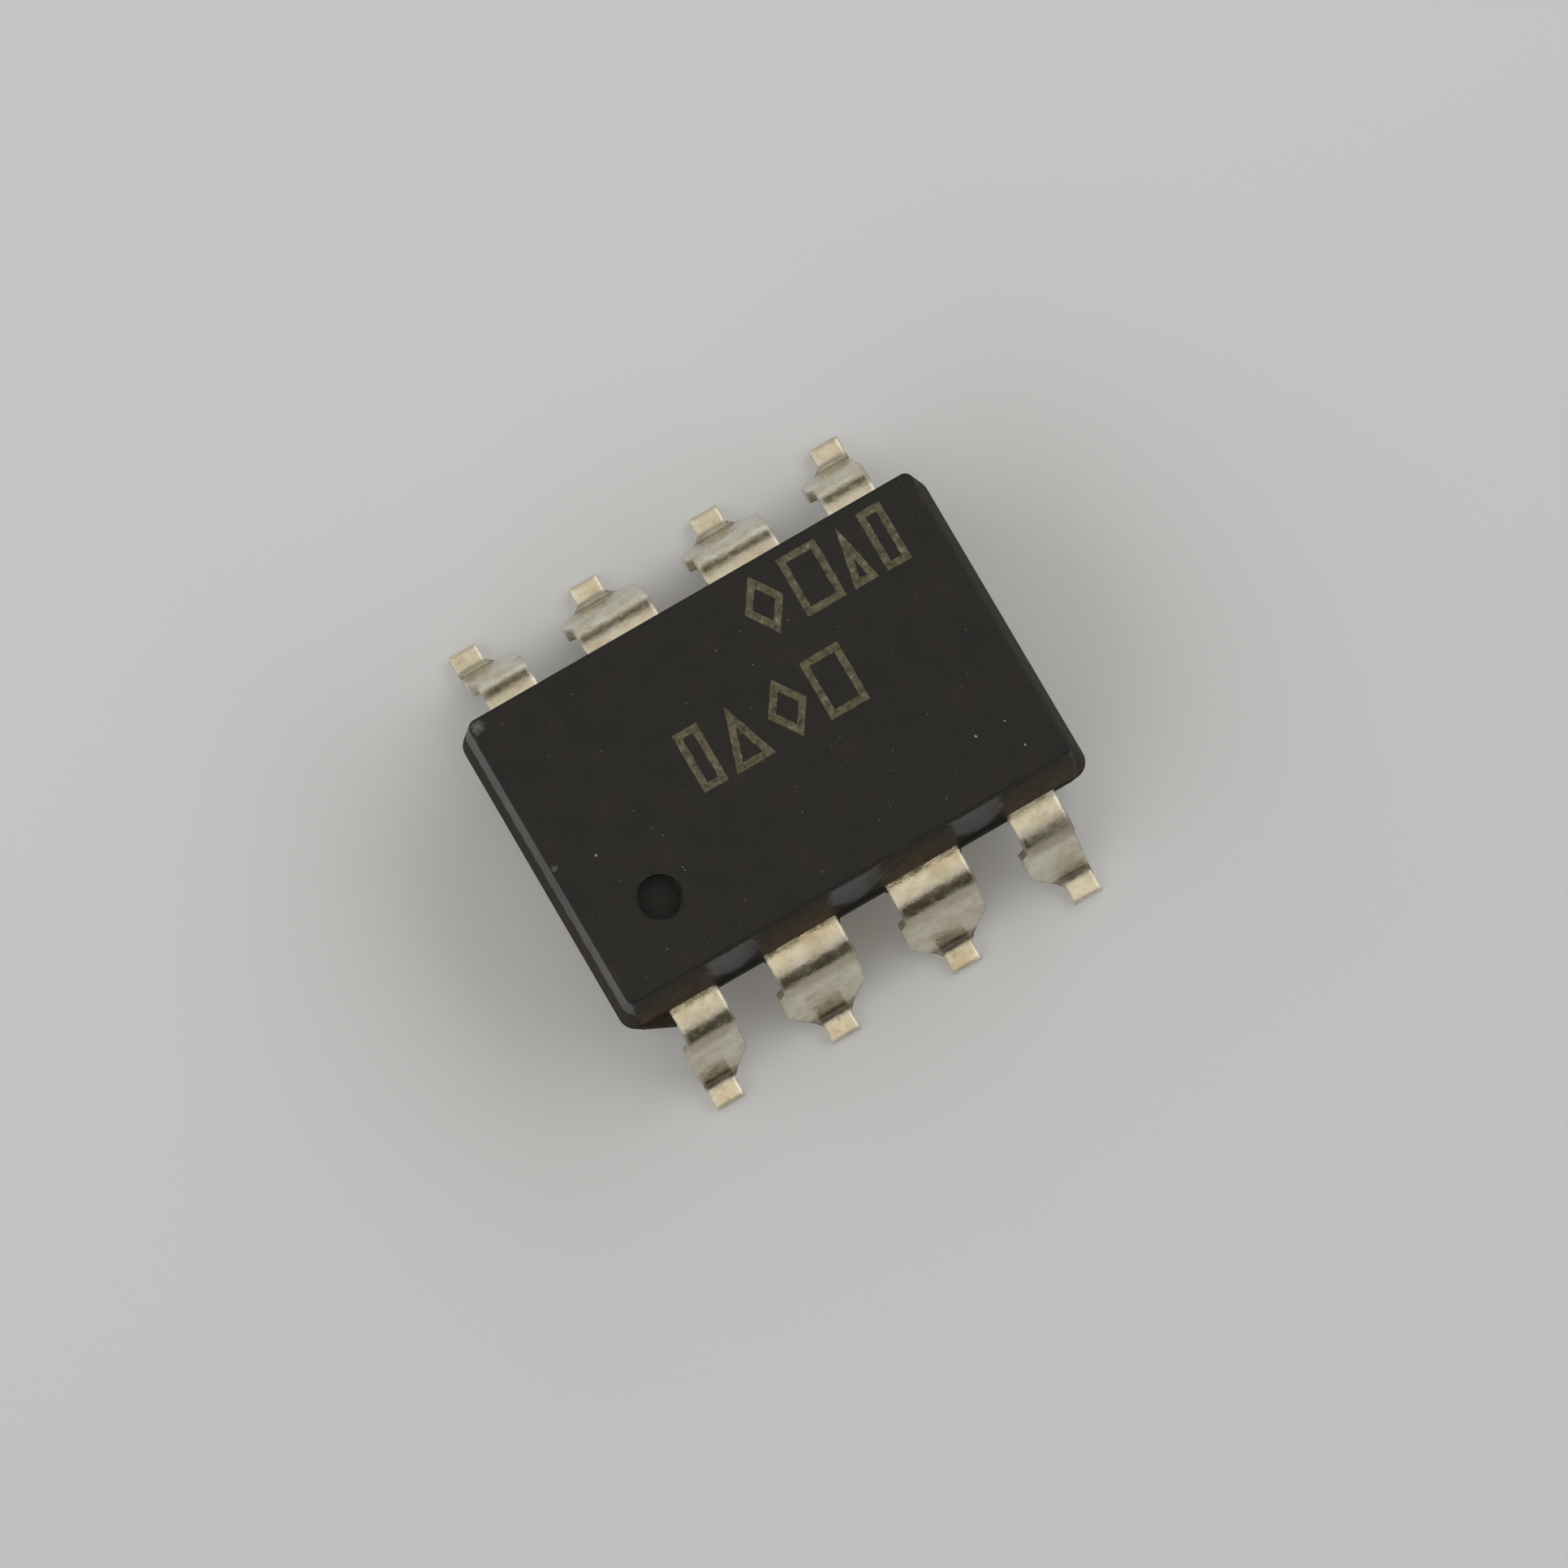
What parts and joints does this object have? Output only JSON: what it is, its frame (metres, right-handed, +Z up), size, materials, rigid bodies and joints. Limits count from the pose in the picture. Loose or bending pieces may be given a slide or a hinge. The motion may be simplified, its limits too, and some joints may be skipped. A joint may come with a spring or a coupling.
{
  "type": "eight pin optocoupler chip",
  "caption": "Black moulded optocoupler in a dual in-line body, with a pin 1 dimple and gull wing leads for surface mounting.",
  "frame": {"origin": "on the board, under the middle of the body", "axes": "+X along the body towards pins 4 and 5, +Y across it towards pins 5 to 8, +Z up"},
  "size_m": [0.0096, 0.0098, 0.0038],
  "materials": {
    "moulding": "matt black moulding compound",
    "plated_lead": "thin pale gold plating, faintly dented",
    "silicon": "polished",
    "emitter": "polished",
    "conductive_glue": "silver filled",
    "film": "clear amber",
    "gel": "clear silicone",
    "gold": "drawn wire"
  },
  "bodies": {
    "root": {"moulded_body": "moulding", "lead_1": "plated_lead", "lead_2": "plated_lead", "lead_3": "plated_lead", "lead_4": "plated_lead", "lead_5": "plated_lead", "lead_6": "plated_lead", "lead_7": "plated_lead", "lead_8": "plated_lead", "emitter_die": "emitter", "detector_die": "silicon", "emitter_die_attach": "conductive_glue", "detector_die_attach": "conductive_glue", "insulating_film": "film", "emitter_gel": "gel", "detector_gel": "gel", "anode_wire": "gold", "output_wire": "gold", "enable_wire": "gold", "supply_wire": "gold", "ground_wire": "gold"}
  },
  "joints": []
}
